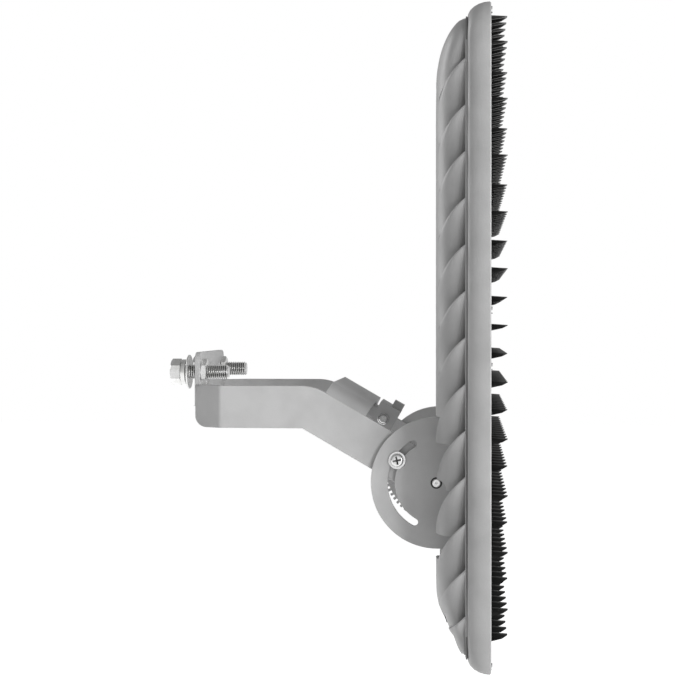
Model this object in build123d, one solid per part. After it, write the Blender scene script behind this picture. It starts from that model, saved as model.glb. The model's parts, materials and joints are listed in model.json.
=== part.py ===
# Sports light: a slim LED floodlight head that tilts on a steel stirrup bracket.
# Millimetres. +X is the way the light shines, +Z is up, and the light is symmetric about Y = 0.
# The origin is the centre hole of the bracket's rear plate, on its outer face.
from build123d import *
from math import cos, radians, sin, sqrt
import os

os.makedirs("parts", exist_ok=True)

# Clearances that many pieces share
overrun = 6.0
turn_gap = 0.3
bore_gap = 0.05
thread_gap = 0.05
hole_gap = 0.5
seat_gap = 0.2
edge_break = 0.5
hex_sides, right_angle = 6, 90.0

# Fasteners: nominal radii, head sizes and washer sizes
m3_r, m3_head_r, m3_head_h = 1.5, 2.8, 1.8
m4_r, m4_head_r, m4_head_h = 2.0, 3.5, 2.2
m5_r, m5_head_r, m5_head_h = 2.5, 4.6, 2.8
m6_r, m6_head_r, m6_head_h = 3.0, 6.2, 4.2
m6_washer_r, m6_washer_t, m6_nut_flats, m6_nut_h = 8.2, 1.4, 10.0, 5.0
m8_r, m8_flats, m8_head_h = 4.0, 13.0, 5.3
m14_r, m14_flats, m14_head_h, m14_nut_h = 7.0, 22.0, 9.6, 5.4
m14_spring_r, m14_spring_t, m14_washer_r, m14_washer_t = 12.0, 5.4, 16.4, 3.0
m14_standoff = 6.6
m14_length = 46.0

# Stirrup bracket, bent from one strip
strip_t = 5.0
bar_h = 40.0
arm_half = 90.0
rear_half = 72.0
chamfer_run = 27.0
bend_r = 7.0
elbow_r = 45.0
heel_r = 12.0
arm_slope = 30.0
pivot_x = 231.0
pivot_drop = 69.5
tab_rise = 31.0
tab_corner_r = 9.0
centre_hole_r = 10.5
mount_hole_r = 7.5
mount_spacing = 117.0
mount_rise = 31.9

# Bridge plate, a hat-shaped cross piece welded on both arms
bridge_t = 4.0
bridge_rise = 11.0
bridge_near, bridge_far = 88.0, 131.5
bridge_bevel = 18.0

# Tilt stop, a block screwed under the bridge plate
stop_near, stop_far = 62.0, 84.0
stop_low, stop_high = 8.0, 35.0
stop_half = 20.0
tongue_far = 116.0
tongue_t = 10.0
stop_bolt_s, stop_bolt_h = 73.5, 20.5
stop_lock_s = 67.4
lock_head_w, lock_head_h = 10.6, 6.6
lock_depth = 14.0
set_screw_s = 90.5
set_screw_depth = 6.0
tongue_screw_s, tongue_screw_half = 103.0, 11.0
stop_end_proud = 1.2
stop_nut_r, stop_nut_h = 5.8, 2.2

# Pivots and the arc slots in the ears
ear_r = 61.0
ear_t = 4.5
slot_r = 42.0
slot_w = 6.8
slot_start, slot_sweep = 120.8, 120.1
pivot_proud = 2.2
pivot_sink_r, pivot_sink = 5.6, 1.0
bush_wall, bush_flange, bush_flange_t = 1.5, 3.0, 1.0
foot_reach = 17.0
foot_half = 56.0
foot_screw_half = 40.0
notch_step = 5.0
notch_count = 15
notch_start = 160.0
notch_w, notch_depth = 2.6, 3.2

# Head, placed from its centre, which lies above the pivot
head_w, head_h = 361.0, 594.0
head_rise = 135.0
corner_r = 24.0
front_reach = 49.3
frame_depth = 20.7
flank_inset = 12.0
border = 8.0
lip_w = 3.5
ledge_w, ledge_t = 5.0, 2.2
opening_corner_r, ledge_corner_r = 14.0, 8.0
gasket_t, gasket_w, gasket_edge = 1.5, 4.0, 0.3
front_chamfer = 0.8
band_count = 6

# Rear housing: a pan with a rounded shoulder and a row of overlapping scales on each long side
shoulder_in = 50.0
shoulder_depth = 26.2
scale_proud = 1.4
scale_sink = 8.0
crest_corner_r = 50.0
floor_t = 4.0
pocket_edge = 6.0
pocket_corner_r = 20.0
scale_pitch = 40.9
scale_count = 13
scale_mid = 2.0
scale_r = 67.7
scale_tilt = 10.0
bay_half = 64.0
bay_depth = 15.0
pivot_access_r = 8.0
foot_rim, foot_bevel = 4.1, 43.0

# Heat sinks, comb-shaped extrusions screwed to the pocket floor
fin_t, fin_pitch, fin_base_t = 2.2, 10.0, 3.0
fin_drop = 2.5
upper_fins, lower_fins = 21, 15
bay_margin = 5.0
lower_sink_drop = 50.0
gland_channel = 15.0
sink_edge = 3.0
sink_screw_inset = 10.0

# Optics: rows of hooded lenses in three modules
row_pitch, column_pitch = 25.0, 28.87
rows_per_module = (8, 7, 8)
odd_columns, even_columns = 11, 12
module_gap, module_shift = 0.6, 1.4
panel_t, panel_sink = 2.0, 8.6
hood_base_r, hood_tip_r, hood_wall = 13.2, 11.6, 1.4
hood_out = 14.6
hood_tip_cut_z, hood_mid_cut_z, hood_base_cut_z = 11.0, 8.6, 4.6
hood_mid_back = 5.0
hood_skirt = 1.0
lens_r, lens_gap, lens_plate_t, lens_dome_h, lens_dome_r = 8.6, 0.6, 3.0, 2.6, 5.6
lens_plate_edge = 0.8
board_t, board_edge = 2.0, 0.7
spacer_r, stud_depth = 3.0, 3.0
chip_w, chip_h = 5.0, 1.5

# Junction box in the bay between the ears, with its terminal block, gland and vent
box_half, box_top, box_bottom = 48.0, 28.0, 36.0
box_depth, box_wall, lid_t, seal_t = 16.5, 2.5, 3.5, 1.5
box_corner_r = 6.0
post_r = 4.0
terminal_w, terminal_h, terminal_depth = 42.0, 18.0, 9.0
terminal_rise = 6.0
terminal_poles = 3
terminal_screw_r, terminal_screw_depth = 2.2, 3.0
gland_r, gland_bore_r, gland_flats, gland_flange_t = 6.0, 3.4, 15.0, 4.0
gland_back, gland_inside, gland_cap_h, gland_cap_r = 9.2, 4.0, 8.0, 7.2
vent_r, vent_head_r, vent_head_h, vent_offset = 4.0, 5.4, 3.0, 28.0
lead_r, lead_spacing, lead_drop, lead_inside = 1.2, 6.0, 16.0, 8.0
grommet_wall = 1.6

# Screws on the frame's front face and under its lens panels
trim_screw_in, trim_screw_mid, trim_screw_side = 4.0, 24.5, 85.0
trim_head_r, trim_head_h, trim_length = 3.1, 1.0, 9.0
ledge_screw_in = 15.1
ledge_screw_scales = (1, 4, 8, 11)
ledge_screw_drop = 6.0
ledge_screw_gaps = (1.5, 4.5)

# Derived places
pivot_z = -pivot_drop
bar_half = bar_h / 2
slope_sin, slope_cos = sin(radians(arm_slope)), cos(radians(arm_slope))
tab_top = bar_half + tab_rise
arm_in = arm_half - strip_t
ear_in = arm_half + turn_gap
ear_out = ear_in + ear_t
front_x = pivot_x + front_reach
frame_rear_x = front_x - frame_depth
seat_x = frame_rear_x - gasket_t
crest_x = seat_x - shoulder_depth
scale_crest_x = crest_x - scale_proud
floor_x = seat_x - floor_t
head_z = pivot_z + head_rise
panel_front_x = front_x - panel_sink
panel_back_x = panel_front_x - panel_t
pocket_half_y = head_w / 2 - flank_inset - shoulder_in - pocket_edge
pocket_half_z = head_h / 2 - flank_inset - shoulder_in - pocket_edge
row_count = sum(rows_per_module)
scale_centre = scale_r - (frame_rear_x - scale_crest_x)
scale_drop = sqrt(scale_r**2 - scale_centre**2)
lens_plate_back_x = panel_back_x - lens_plate_t
tip_x = front_x + hood_out
box_low_z, box_high_z = pivot_z - box_bottom, pivot_z + box_top
box_back_x = floor_x - box_depth


def rod(radius, length, start, way):
    """A round bar from a point, along a direction."""
    return extrude(Plane(origin=start, z_dir=way) * Circle(radius), length)


def hexagon(flats, length, start, way):
    """A hexagon bar given by its width across flats."""
    outline = RegularPolygon(flats / 2, hex_sides, major_radius=False)
    return extrude(Plane(origin=start, z_dir=way) * outline, length)


def washer(outer_r, inner_r, length, start, way):
    """A flat ring from a point, along a direction."""
    return extrude(Plane(origin=start, z_dir=way) * (Circle(outer_r) - Circle(inner_r)), length)


def block(x_low, x_high, y_low, y_high, z_low, z_high):
    """A box given by its lowest and highest places."""
    size = (x_high - x_low, y_high - y_low, z_high - z_low)
    centre = ((x_low + x_high) / 2, (y_low + y_high) / 2, (z_low + z_high) / 2)
    return Pos(*centre) * Box(*size)


def side_sheet(sketch, y_low, y_high):
    """A sketch of X and Z extruded between two places along Y."""
    return extrude(Plane(origin=(0, y_high, 0), x_dir=(1, 0, 0), z_dir=(0, -1, 0)) * sketch, y_high - y_low)


def face_sheet(sketch, x_low, x_high, z=0):
    """A sketch of Y and Z, centred at a height, extruded between two places along X."""
    return extrude(Plane(origin=(x_low, 0, z), x_dir=(0, 1, 0), z_dir=(1, 0, 0)) * sketch, x_high - x_low)


def both_sides(piece):
    """The piece and its mirror image across Y = 0, as separate solids."""
    return Compound(children=[piece, mirror(piece, about=Plane.XZ)])


def on_slope(along, up):
    """X and Z of a point given along the sloping arm from the pivot, and square to it."""
    return pivot_x - along * slope_cos + up * slope_sin, pivot_z + along * slope_sin + up * slope_cos


def save(name, piece):
    """Writes one named piece."""
    piece.label = name
    export_step(piece, f"parts/{name}.step")


# Stirrup bracket
def make_stirrup():
    end_x = pivot_x + bar_h
    outline = Polygon(
        (0, rear_half), (0, -rear_half), (chamfer_run, -arm_half), (end_x, -arm_half),
        (end_x, arm_half), (chamfer_run, arm_half), align=None)
    bends = [v for v in outline.vertices() if v.X < pivot_x]
    outline = fillet(bends, bend_r)
    strip = outline - offset(outline, -strip_t)
    walls = extrude(Plane.XY.offset(pivot_z - bar_h) * strip, tab_top + bar_h - pivot_z)

    low_elbow_x = pivot_x + (-bar_half - slope_cos * (-bar_half - pivot_z)) / slope_sin
    high_elbow_x = pivot_x + (bar_half - slope_cos * (bar_half - pivot_z)) / slope_sin
    bar = Polygon(
        (0, -bar_half), (low_elbow_x, -bar_half), on_slope(0, -bar_half),
        on_slope(0, bar_half), (high_elbow_x, bar_half), (0, bar_half), align=None)
    heel = [v for v in bar.vertices() if v.X < strip_t and v.Y < 0]
    bar = fillet(heel, heel_r)
    elbow = [v for v in bar.vertices() if abs(v.X - high_elbow_x) < strip_t and v.Y > 0]
    bar = fillet(elbow, elbow_r)
    bar += Pos(pivot_x, pivot_z) * Circle(bar_half)
    stirrup = walls & side_sheet(bar, -arm_half - overrun, arm_half + overrun)

    tab = Polygon((-rear_half, 0), (rear_half, 0), (rear_half, tab_top), (-rear_half, tab_top), align=None)
    tab = fillet([v for v in tab.vertices() if v.Y > 0], tab_corner_r)
    stirrup += face_sheet(tab, 0, strip_t)
    stirrup -= rod(centre_hole_r, strip_t + 2 * overrun, (-overrun, 0, 0), (1, 0, 0))
    for side in (-1, 1):
        place = (-overrun, side * mount_spacing / 2, mount_rise)
        stirrup -= rod(mount_hole_r, strip_t + 2 * overrun, place, (1, 0, 0))
    slot_x, slot_z = on_slope(slot_r, 0)
    wide = 2 * (arm_half + overrun)
    stirrup -= rod(m6_r + hole_gap / 2, wide, (slot_x, -wide / 2, slot_z), (0, 1, 0))
    stirrup -= rod(m8_r + bore_gap + bush_wall, wide, (pivot_x, -wide / 2, pivot_z), (0, 1, 0))
    return stirrup


save("stirrup_bracket", make_stirrup())


# Mounting bolts through the raised tab, with their washers and lock nuts
def make_mount_hardware():
    bolts, springs, flats, nuts = [], [], [], []
    washer_x = -m14_standoff - m14_washer_t
    head_x = washer_x - m14_spring_t
    for side in (-1, 1):
        y = side * mount_spacing / 2
        bolt = hexagon(m14_flats, m14_head_h, (head_x - m14_head_h, y, mount_rise), (1, 0, 0))
        bolt += rod(m14_r, m14_length, (head_x, y, mount_rise), (1, 0, 0))
        bolts.append(bolt)
        bore_r = m14_r + thread_gap
        springs.append(washer(m14_spring_r, bore_r, m14_spring_t, (head_x, y, mount_rise), (1, 0, 0)))
        flats.append(washer(m14_washer_r, bore_r, m14_washer_t, (washer_x, y, mount_rise), (1, 0, 0)))
        nut = hexagon(m14_flats, m14_nut_h, (strip_t, y, mount_rise), (1, 0, 0))
        nut -= rod(m14_r + thread_gap, m14_nut_h, (strip_t, y, mount_rise), (1, 0, 0))
        nuts.append(nut)
    save("mount_bolts", Compound(children=bolts))
    save("mount_spring_washers", Compound(children=springs))
    save("mount_flat_washers", Compound(children=flats))
    save("mount_nuts", Compound(children=nuts))


make_mount_hardware()


# Bridge plate and the tilt stop under it, both laid out along the sloping arm
slope_place = Plane(
    origin=(pivot_x, 0, pivot_z), x_dir=(-slope_cos, 0, slope_sin), z_dir=(slope_sin, 0, slope_cos))


def slope_box(along_low, along_high, y_low, y_high, up_low, up_high):
    """A box laid out along the sloping arm. The slope's own Y runs the other way, so its sides swap."""
    return slope_place * block(along_low, along_high, -y_high, -y_low, up_low, up_high)


def make_bridge():
    low = (Align.CENTER, Align.CENTER, Align.MIN)
    top = bar_half + bridge_rise
    foot = arm_half
    crown = arm_half - bridge_bevel
    inner = crown - bridge_t / 2
    outline = Polygon(
        (foot, bar_half), (crown, top), (-crown, top), (-foot, bar_half), (-arm_in, bar_half),
        (-inner, top - bridge_t), (inner, top - bridge_t), (arm_in, bar_half), align=None)
    start = slope_place.location * Pos(bridge_near, 0, 0) * Plane.YZ.location
    hat = extrude(Plane(start) * outline, bridge_far - bridge_near)
    for side in (-1, 1):
        axis = slope_place * Pos(tongue_screw_s, side * tongue_screw_half, 0)
        hat -= axis * Pos(0, 0, top) * Cylinder(m4_r + hole_gap / 2, 2 * overrun + bridge_t)
        hat -= axis * Pos(0, 0, top - m4_head_h) * Cone(m4_r, m4_head_r, m4_head_h, align=low)
    return hat


def make_stop():
    tongue_high = bar_half + bridge_rise - bridge_t
    body = slope_box(stop_near, stop_far, -stop_half, stop_half, stop_low, stop_high)
    body += slope_box(stop_far, tongue_far, -stop_half, stop_half, tongue_high - tongue_t, tongue_high)
    bore = slope_place * Pos(stop_bolt_s, 0, stop_bolt_h) * Rot(right_angle, 0, 0)
    body -= bore * Cylinder(m8_r + thread_gap, 2 * stop_half + 2 * overrun)
    lock = slope_place * Pos(stop_lock_s, 0, stop_high)
    body -= lock * Cylinder(m4_r + thread_gap, 2 * (lock_depth - m8_r))
    for side in (-1, 1):
        screw = slope_place * Pos(tongue_screw_s, side * tongue_screw_half, tongue_high)
        body -= screw * Cylinder(m4_r + thread_gap, 2 * (tongue_t - edge_break))
    set_bore = slope_place * Pos(set_screw_s, stop_half, tongue_high - tongue_t / 2) * Rot(right_angle, 0, 0)
    body -= set_bore * Cylinder(m3_r + thread_gap, 2 * set_screw_depth)
    return body


save("bridge_plate", make_bridge())
save("tilt_stop_block", make_stop())


def make_stop_hardware():
    low = (Align.CENTER, Align.CENTER, Align.MIN)
    across = slope_place * Pos(stop_bolt_s, 0, stop_bolt_h) * Rot(right_angle, 0, 0)
    shank = 2 * stop_half + stop_nut_h + 2 * stop_end_proud
    bolt = across * Pos(0, 0, -stop_half - stop_nut_h - stop_end_proud) * Cylinder(m8_r, shank, align=low)
    head = across * Pos(0, 0, stop_half) * Cylinder(m8_r + stop_end_proud, stop_end_proud, align=low)
    save("tilt_stop_bolt", bolt + head)
    nut = extrude(Circle(stop_nut_r) - Circle(m8_r + thread_gap), -stop_nut_h)
    save("tilt_stop_nut", across * Pos(0, 0, -stop_half) * nut)

    lock = slope_place * Pos(stop_lock_s, 0, stop_high)
    screw = lock * Box(lock_head_w, lock_head_w, lock_head_h, align=low)
    reach = stop_high - stop_bolt_h - m8_r - edge_break
    screw += lock * Pos(0, 0, -reach) * Cylinder(m4_r, reach, align=low)
    save("tilt_stop_lock_screw", screw)

    tongue_high = bar_half + bridge_rise - bridge_t
    set_place = slope_place * Pos(set_screw_s, stop_half, tongue_high - tongue_t / 2) * Rot(right_angle, 0, 0)
    set_screw = set_place * Cylinder(m3_r, set_screw_depth - edge_break, align=low)
    set_screw += set_place * Pos(0, 0, -m3_head_h / 2) * Cylinder(m3_head_r, m3_head_h / 2, align=low)
    save("tilt_stop_set_screw", set_screw)

    screws = []
    for side in (-1, 1):
        axis = slope_place * Pos(tongue_screw_s, side * tongue_screw_half, tongue_high + bridge_t)
        reach = bridge_t + tongue_t - 2 * edge_break
        one = axis * Pos(0, 0, -reach) * Cylinder(m4_r, reach - m4_head_h, align=low)
        one += axis * Pos(0, 0, -m4_head_h) * Cone(m4_r, m4_head_r, m4_head_h, align=low)
        screws.append(one)
    save("tilt_stop_screws", Compound(children=screws))


make_stop_hardware()


# Ears with their arc slots. The left one has a notched rim that reads the tilt
def ear_outline():
    web_x = floor_x - pivot_x
    rim = Pos(pivot_x, pivot_z) * Circle(ear_r)
    rim += Pos(pivot_x + web_x / 2, pivot_z) * Rectangle(web_x, 2 * ear_r)
    rim -= Pos(floor_x + ear_r / 2, pivot_z) * Rectangle(ear_r, 2 * ear_r)
    rim -= Pos(pivot_x, pivot_z) * SlotArc(CenterArc((0, 0), slot_r, slot_start, slot_sweep), slot_w)
    return rim


def make_ear(notched):
    outline = ear_outline()
    if notched:
        for index in range(notch_count):
            turn = notch_start + index * notch_step
            notch = Pos(ear_r, 0) * Rectangle(2 * notch_depth, notch_w)
            outline -= Pos(pivot_x, pivot_z) * Rot(0, 0, turn) * notch
    ear = side_sheet(outline, ear_in, ear_out)
    foot_x = floor_x - ear_t
    ear += block(foot_x, floor_x, ear_in, ear_out + foot_reach, pivot_z - foot_half, pivot_z + foot_half)
    ear -= rod(m8_r + thread_gap, 2 * overrun + ear_t, (pivot_x, ear_in - overrun, pivot_z), (0, 1, 0))
    ear -= Pos(pivot_x, ear_out - pivot_sink, pivot_z) * Rot(-right_angle, 0, 0) * Cone(
        m8_r + thread_gap, pivot_sink_r, pivot_sink, align=(Align.CENTER, Align.CENTER, Align.MIN))
    for z in foot_screw_places():
        start = (foot_x - overrun, foot_screw_y(), z)
        ear -= rod(m5_r + hole_gap / 2, 2 * overrun + ear_t, start, (1, 0, 0))
    return ear


def foot_screw_places():
    return [pivot_z + step * foot_screw_half for step in (-1, 0, 1)]


def foot_screw_y():
    return ear_out + foot_reach / 2


save("left_ear", make_ear(True))
save("right_ear", mirror(make_ear(False), about=Plane.XZ))


def make_pivot_hardware():
    bush_out = arm_half
    flange_y = arm_in - bush_flange_t
    bore_r = m8_r + bore_gap
    bush = washer(bore_r + bush_wall, bore_r, bush_out - arm_in, (pivot_x, arm_in, pivot_z), (0, 1, 0))
    flange_r = m8_r + bush_wall + bush_flange
    bush += washer(flange_r, bore_r, bush_flange_t, (pivot_x, flange_y, pivot_z), (0, 1, 0))
    save("pivot_bushes", both_sides(bush))

    head_y = flange_y - turn_gap
    bolt = rod(m8_r, ear_out + pivot_proud - head_y, (pivot_x, head_y, pivot_z), (0, 1, 0))
    bolt += hexagon(m8_flats, m8_head_h, (pivot_x, head_y - m8_head_h, pivot_z), (0, 1, 0))
    bolt = chamfer(bolt.edges().filter_by(GeomType.CIRCLE).sort_by(Axis.Y)[-1], edge_break)
    save("pivot_bolts", both_sides(bolt))

    slot_x, slot_z = on_slope(slot_r, 0)
    washer_y = ear_out + turn_gap
    head_base = washer_y + m6_washer_t
    disc = washer(m6_washer_r, m6_r + thread_gap, m6_washer_t, (slot_x, washer_y, slot_z), (0, 1, 0))
    save("slot_washers", both_sides(disc))
    nut_y = arm_in - m6_nut_h
    screw = rod(m6_r, head_base - nut_y + edge_break, (slot_x, nut_y - edge_break, slot_z), (0, 1, 0))
    screw += rod(m6_head_r, m6_head_h, (slot_x, head_base, slot_z), (0, 1, 0))
    screw = fillet(screw.edges().filter_by(GeomType.CIRCLE).sort_by(Axis.Y)[-1], m6_head_h / 2)
    save("slot_screws", both_sides(screw))
    nut = hexagon(m6_nut_flats, m6_nut_h, (slot_x, nut_y, slot_z), (0, 1, 0))
    nut -= rod(m6_r + thread_gap, m6_nut_h, (slot_x, nut_y, slot_z), (0, 1, 0))
    save("slot_nuts", both_sides(nut))

    screws = []
    for side in (-1, 1):
        for z in foot_screw_places():
            base = (floor_x - ear_t, side * foot_screw_y(), z)
            one = rod(m5_r, ear_t + floor_t - edge_break, base, (1, 0, 0))
            one += rod(m5_head_r, m5_head_h, base, (-1, 0, 0))
            screws.append(one)
    save("ear_screws", Compound(children=screws))


make_pivot_hardware()


# Rear housing
def outline_at(x, inset_y, inset_z, radius):
    """The head's rounded outline at a place along X, drawn in by two insets."""
    place = Plane(origin=(x, 0, head_z), x_dir=(0, 1, 0), z_dir=(1, 0, 0))
    return place * RectangleRounded(head_w - 2 * inset_y, head_h - 2 * inset_z, radius)


def quarter_loft(x_wide, x_narrow, side_inset, end_inset, inward, radius_wide, radius_narrow):
    """A rounded slab whose flank follows a quarter ellipse from its wide face to its narrow one."""
    sections = []
    for index in range(band_count + 1):
        turn = radians(right_angle * index / band_count)
        drawn = inward * (1 - cos(turn))
        x = x_wide + (x_narrow - x_wide) * sin(turn)
        radius = radius_wide + (radius_narrow - radius_wide) * drawn / inward
        sections.append(outline_at(x, side_inset + drawn, end_inset + drawn, radius))
    return loft(sections, ruled=True)


def scale_start(index):
    """Height where a scale's leading arc meets the frame."""
    return head_z + scale_mid + (scale_count - 1) / 2 * scale_pitch - index * scale_pitch


def scale_barrel(index):
    """The round bar, along Y, whose edge is a scale's leading arc."""
    centre = (frame_rear_x + scale_centre, -head_w, scale_start(index) - scale_drop)
    return rod(scale_r, 2 * head_w, centre, (0, 1, 0))


def scale_solid(index):
    """One scale on the +Y side: a quarter-ellipse bar that sinks inwards as it runs down."""
    outer = head_w / 2 - flank_inset
    inner = outer - shoulder_in
    reach_x = seat_x - scale_crest_x
    arc = EllipticalCenterArc(
        (seat_x, inner), reach_x, shoulder_in, start_angle=right_angle, arc_size=right_angle)
    floor_line = Line((scale_crest_x, inner), (seat_x, inner))
    profile = make_face([arc, floor_line, Line((seat_x, inner), (seat_x, outer))])
    run = scale_drop
    way = Vector(0, -sin(radians(scale_tilt)), -cos(radians(scale_tilt)))
    bar = extrude(Pos(0, 0, scale_start(index)) * profile, run / cos(radians(scale_tilt)), dir=way)
    return bar & scale_barrel(index)


def foot_wedge():
    """What is cut off below the foot's long bevel, which leaves a thin rim at the frame."""
    rim_x, foot_z = seat_x - foot_rim, head_z - head_h / 2 + flank_inset
    back_x = scale_crest_x - overrun
    rise = foot_bevel * (rim_x - back_x) / (rim_x - scale_crest_x)
    outline = Polygon(
        (rim_x, foot_z), (back_x, foot_z + rise), (back_x, foot_z - overrun), (rim_x, foot_z - overrun),
        align=None)
    return side_sheet(outline, -head_w, head_w)


def make_housing():
    full = quarter_loft(seat_x, crest_x, flank_inset, flank_inset, shoulder_in, corner_r, crest_corner_r)
    sunk_edge, sunk_shoulder = flank_inset + scale_sink, shoulder_in - scale_sink
    core = quarter_loft(seat_x, crest_x, sunk_edge, flank_inset, sunk_shoulder, corner_r, crest_corner_r)
    reach = head_h
    top_low = scale_start(0) - scale_drop
    top_cap = full & block(crest_x, seat_x, -head_w, head_w, top_low, top_low + reach)
    top_cap -= scale_barrel(0)
    low_top = scale_start(scale_count - 1)
    low_cap = full & block(crest_x, seat_x, -head_w, head_w, low_top - reach, low_top)
    low_cap = low_cap & scale_barrel(scale_count - 1)
    housing = core + top_cap + low_cap

    bay = block(
        crest_x - overrun, crest_x + bay_depth, -head_w, head_w, pivot_z - bay_half, pivot_z + bay_half)
    housing -= bay
    scales = []
    for index in range(scale_count):
        one = scale_solid(index)
        if scale_start(index) - scale_drop < head_z - head_h / 2 + flank_inset + shoulder_in:
            one = one & full
        scales += [one, mirror(one, about=Plane.XZ)]
    housing = housing.fuse(*scales)
    housing -= rod(pivot_access_r, 2 * head_w, (pivot_x, -head_w, pivot_z), (0, 1, 0))
    housing -= foot_wedge()

    pocket = RectangleRounded(2 * pocket_half_y, 2 * pocket_half_z, pocket_corner_r)
    housing -= face_sheet(pocket, scale_crest_x - overrun, floor_x, head_z)
    holes = [(m5_r, side * foot_screw_y(), z) for side in (-1, 1) for z in foot_screw_places()]
    holes += [(m4_r, y, z) for y, z in sink_screw_places(True) + sink_screw_places(False)]
    holes += [(m4_r, y, z) for y, z in box_screw_places()]
    holes += [(m3_r, y, z) for module in range(len(rows_per_module)) for y, z in spacer_places(module)]
    holes += [(m3_r, y, z) for y, z in ledge_screw_places()]
    for radius, y, z in holes:
        housing -= rod(radius + thread_gap, floor_t + overrun, (floor_x - overrun / 2, y, z), (1, 0, 0))
    for y, z in lead_places():
        housing -= rod(lead_r + grommet_wall, floor_t + overrun, (floor_x - overrun / 2, y, z), (1, 0, 0))
    return housing


# Places of the screws that come through the housing's floor
def sink_span(upper):
    """Lowest and highest places of a heat sink."""
    if upper:
        return pivot_z + bay_half + bay_margin, head_z + pocket_half_z - sink_edge
    return head_z - pocket_half_z + sink_edge, pivot_z - lower_sink_drop


def sink_screw_places(upper):
    low, high = sink_span(upper)
    count = upper_fins if upper else lower_fins
    y = (count / 2 - 1) * fin_pitch
    heights = [low + sink_screw_inset, high - sink_screw_inset]
    if upper:
        heights.append((low + high) / 2)
    return [(side * y, z) for side in (-1, 1) for z in heights]


def box_screw_places():
    inset = box_wall + post_r / 2
    heights = (box_low_z + inset, box_high_z - inset)
    return [(side * (box_half - inset), z) for side in (-1, 1) for z in heights]


def lens_height(row):
    return head_z + ((row_count - 1) / 2 - row) * row_pitch


def spacer_places(module):
    """Free places at the ends of a module's first and last short rows."""
    first = sum(rows_per_module[:module])
    rows = [row for row in range(first, first + rows_per_module[module]) if row % 2 == 0]
    y = (even_columns - 1) / 2 * column_pitch
    return [(side * y, lens_height(row)) for side in (-1, 1) for row in (rows[0], rows[-1])]


def ledge_screw_places():
    side_y, end_z = head_w / 2 - ledge_screw_in, head_h / 2 - ledge_screw_in
    places = []
    for side in (-1, 1):
        places += [(side * side_y, scale_start(index) - ledge_screw_drop) for index in ledge_screw_scales]
        for gap in ledge_screw_gaps:
            y = side * gap * column_pitch
            places += [(y, head_z - end_z), (y, head_z + end_z)]
    return places


def lead_places():
    z = box_low_z + lead_drop
    return [(side * lead_spacing / 2, z) for side in (-1, 1)]


save("rear_housing", make_housing())


# Heat sinks
def make_heat_sink(upper):
    low, high = sink_span(upper)
    count = upper_fins if upper else lower_fins
    half = (count - 1) / 2 * fin_pitch + fin_t / 2
    base = floor_x - fin_base_t
    comb = Pos((base + floor_x) / 2, 0) * Rectangle(fin_base_t, 2 * half)
    tip = crest_x + fin_drop
    for index in range(count):
        y = (index - (count - 1) / 2) * fin_pitch
        if upper or abs(y) > gland_channel:
            comb += Pos((tip + floor_x) / 2, y) * Rectangle(floor_x - tip, fin_t)
    sink = extrude(Plane.XY.offset(low) * comb, high - low)
    for y, z in sink_screw_places(upper):
        sink -= rod(m4_r + hole_gap / 2, fin_base_t + overrun, (base - overrun / 2, y, z), (1, 0, 0))
    return sink


save("upper_heat_sink", make_heat_sink(True))
save("lower_heat_sink", make_heat_sink(False))


def make_sink_screws():
    screws = []
    for y, z in sink_screw_places(True) + sink_screw_places(False):
        base = (floor_x - fin_base_t, y, z)
        one = rod(m4_r, fin_base_t + floor_t - edge_break, base, (1, 0, 0))
        one += rod(m4_head_r, m4_head_h, base, (-1, 0, 0))
        screws.append(one)
    save("heat_sink_screws", Compound(children=screws))


make_sink_screws()


# Front frame and its gasket
def slab(x_low, x_high, inset, radius):
    """A rounded slab drawn in evenly from the head's outline."""
    sketch = RectangleRounded(head_w - 2 * inset, head_h - 2 * inset, radius)
    return face_sheet(sketch, x_low, x_high, head_z)


def make_frame():
    frame = quarter_loft(front_x - front_chamfer, frame_rear_x, 0, 0, flank_inset, corner_r, corner_r)
    frame += slab(front_x - front_chamfer, front_x, front_chamfer, corner_r - front_chamfer)
    ledge_x = frame_rear_x + ledge_t
    frame -= slab(panel_back_x, front_x + overrun, border, opening_corner_r)
    frame -= slab(ledge_x, panel_back_x, border + lip_w, opening_corner_r)
    frame -= slab(frame_rear_x - overrun, ledge_x, border + lip_w + ledge_w, ledge_corner_r)
    for y, z in trim_screw_places():
        frame -= rod(m3_r + thread_gap, trim_length + overrun, (front_x - trim_length, y, z), (1, 0, 0))
    for y, z in ledge_screw_places():
        frame -= rod(m3_r + hole_gap / 4, ledge_t + overrun, (frame_rear_x - overrun / 2, y, z), (1, 0, 0))
    return frame


def trim_screw_places():
    side_y, end_z = head_w / 2 - trim_screw_in, head_h / 2 - trim_screw_in
    turn = (corner_r - trim_screw_in) * sin(radians(right_angle / 2))
    corner_y, corner_z = head_w / 2 - corner_r + turn, head_h / 2 - corner_r + turn
    places = []
    for low_high in (-1, 1):
        places.append((0, head_z + low_high * end_z))
        for side in (-1, 1):
            places.append((side * corner_y, head_z + low_high * corner_z))
            places.append((side * side_y, head_z + low_high * trim_screw_mid))
            places.append((side * trim_screw_side, head_z + low_high * end_z))
    return places


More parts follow.
